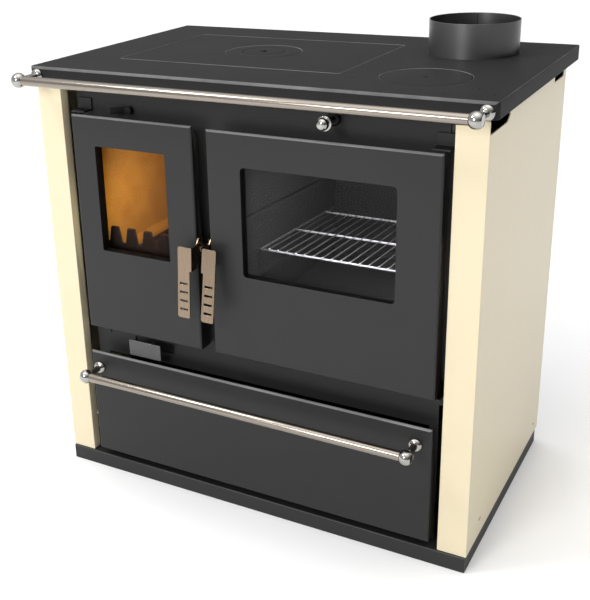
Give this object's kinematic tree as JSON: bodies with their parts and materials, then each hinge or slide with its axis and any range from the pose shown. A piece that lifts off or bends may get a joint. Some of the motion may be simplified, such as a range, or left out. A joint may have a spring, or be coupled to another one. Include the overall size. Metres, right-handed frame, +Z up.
{
  "type": "wood cookstove",
  "caption": "Wood-burning cookstove with a glazed fire door and oven door side by side, a storage drawer below, and a cast cooktop with lift-off plates and a round flue collar.",
  "frame": {"origin": "on the floor, under the middle of the bounding box", "axes": "+X to the right as seen from the front, +Y to the back, +Z up"},
  "size_m": [0.8, 0.5594, 0.816],
  "materials": {
    "cream_enamel": "gloss enamel",
    "black_paint": "satin",
    "plinth_paint": "satin",
    "cast_top": "fine cast texture",
    "stainless": "satin",
    "chrome": "polished",
    "firebrick": "matte",
    "cast_brown": "matte, heat-browned",
    "plain_steel": "dark satin",
    "seal_rope": "matte",
    "heat_glass": "clear"
  },
  "bodies": {
    "stove_body": {"plinth": "plinth_paint", "left_side_panel": "cream_enamel", "right_side_panel": "cream_enamel", "back_panel": "black_paint", "front_plate": "black_paint", "cooktop": "cast_top", "flue_collar": "black_paint", "top_rail": "stainless", "top_rail_bracket_left": "chrome", "top_rail_bracket_right": "chrome", "firebox_shell": "plain_steel", "left_firebrick": "firebrick", "right_firebrick": "firebrick", "back_firebrick": "firebrick", "fire_grate": "cast_brown", "log_retainer": "cast_brown", "ash_pan": "plain_steel", "oven_liner": "plain_steel", "oven_rack": "chrome", "oven_casing": "plain_steel", "smoke_baffle": "plain_steel", "fire_door_hinge_top": "black_paint", "fire_door_hinge_bottom": "black_paint", "oven_door_hinge_top": "black_paint", "oven_door_hinge_bottom": "black_paint", "latch_striker": "stainless", "drawer_runner_left": "plain_steel", "drawer_runner_right": "plain_steel", "damper_collar": "chrome", "air_slide_channel": "plain_steel"},
    "fire_door": {"fire_door_panel": "black_paint", "fire_door_glass": "heat_glass", "fire_door_glass_frame": "plain_steel", "fire_door_seal": "seal_rope", "fire_door_latch_pin": "stainless"},
    "fire_handle": {"fire_door_handle": "stainless"},
    "oven_door": {"oven_door_panel": "black_paint", "oven_door_glass": "heat_glass", "oven_door_glass_frame": "plain_steel", "oven_door_seal": "seal_rope", "oven_door_latch_pin": "stainless"},
    "oven_handle": {"oven_door_handle": "stainless"},
    "drawer": {"drawer_front": "black_paint", "drawer_box": "plain_steel", "drawer_rail": "stainless", "drawer_rail_bracket_left": "chrome", "drawer_rail_bracket_right": "chrome"},
    "damper": {"damper_knob": "chrome", "damper_rod": "stainless", "damper_plate": "plain_steel"},
    "air_slide": {"air_slide_handle": "black_paint", "air_shutter": "plain_steel"},
    "secondary_air": {"secondary_air_lever": "black_paint", "secondary_air_flap": "plain_steel"},
    "loose_plate": {"cooking_plate": "cast_top"},
    "loose_ring": {"cooking_ring": "cast_top"},
    "loose_disc": {"centre_disc": "cast_top"},
    "loose_lid": {"burner_lid": "cast_top"}
  },
  "joints": [
    {"name": "fire_door_hinge", "type": "hinge", "parent": "stove_body", "child": "fire_door", "pos_m": [-0.3086, -0.21025, 0.492], "axis": [0, 0, -1], "range_deg": [0, 120]},
    {"name": "oven_door_hinge", "type": "hinge", "parent": "stove_body", "child": "oven_door", "pos_m": [0.3218, -0.21025, 0.492], "axis": [0, 0, 1], "range_deg": [0, 105]},
    {"name": "fire_handle_pivot", "type": "hinge", "parent": "fire_door", "child": "fire_handle", "pos_m": [-0.07915, -0.21525, 0.48], "axis": [-1, 0, 0], "range_deg": [0, 28]},
    {"name": "oven_handle_pivot", "type": "hinge", "parent": "oven_door", "child": "oven_handle", "pos_m": [-0.05655, -0.21525, 0.48], "axis": [-1, 0, 0], "range_deg": [0, 28]},
    {"name": "drawer_slide", "type": "slide", "parent": "stove_body", "child": "drawer", "axis": [0, -1, 0], "range_m": [0, 0.3]},
    {"name": "damper_slide", "type": "slide", "parent": "stove_body", "child": "damper", "axis": [0, -1, 0], "range_m": [0, 0.06]},
    {"name": "air_slide_travel", "type": "slide", "parent": "stove_body", "child": "air_slide", "axis": [1, 0, 0], "range_m": [0, 0.04]},
    {"name": "secondary_air_pivot", "type": "hinge", "parent": "stove_body", "child": "secondary_air", "pos_m": [-0.2176, -0.19225, 0.694], "axis": [0, 1, 0], "range_deg": [0, 40]},
    {"name": "cooking_plate_lift", "type": "slide", "parent": "stove_body", "child": "loose_plate", "axis": [0, 0, 1], "range_m": [0, 0.08]},
    {"name": "cooking_ring_lift", "type": "slide", "parent": "loose_plate", "child": "loose_ring", "axis": [0, 0, 1], "range_m": [0, 0.08]},
    {"name": "centre_disc_lift", "type": "slide", "parent": "loose_ring", "child": "loose_disc", "axis": [0, 0, 1], "range_m": [0, 0.08]},
    {"name": "burner_lid_lift", "type": "slide", "parent": "stove_body", "child": "loose_lid", "axis": [0, 0, 1], "range_m": [0, 0.08]}
  ]
}
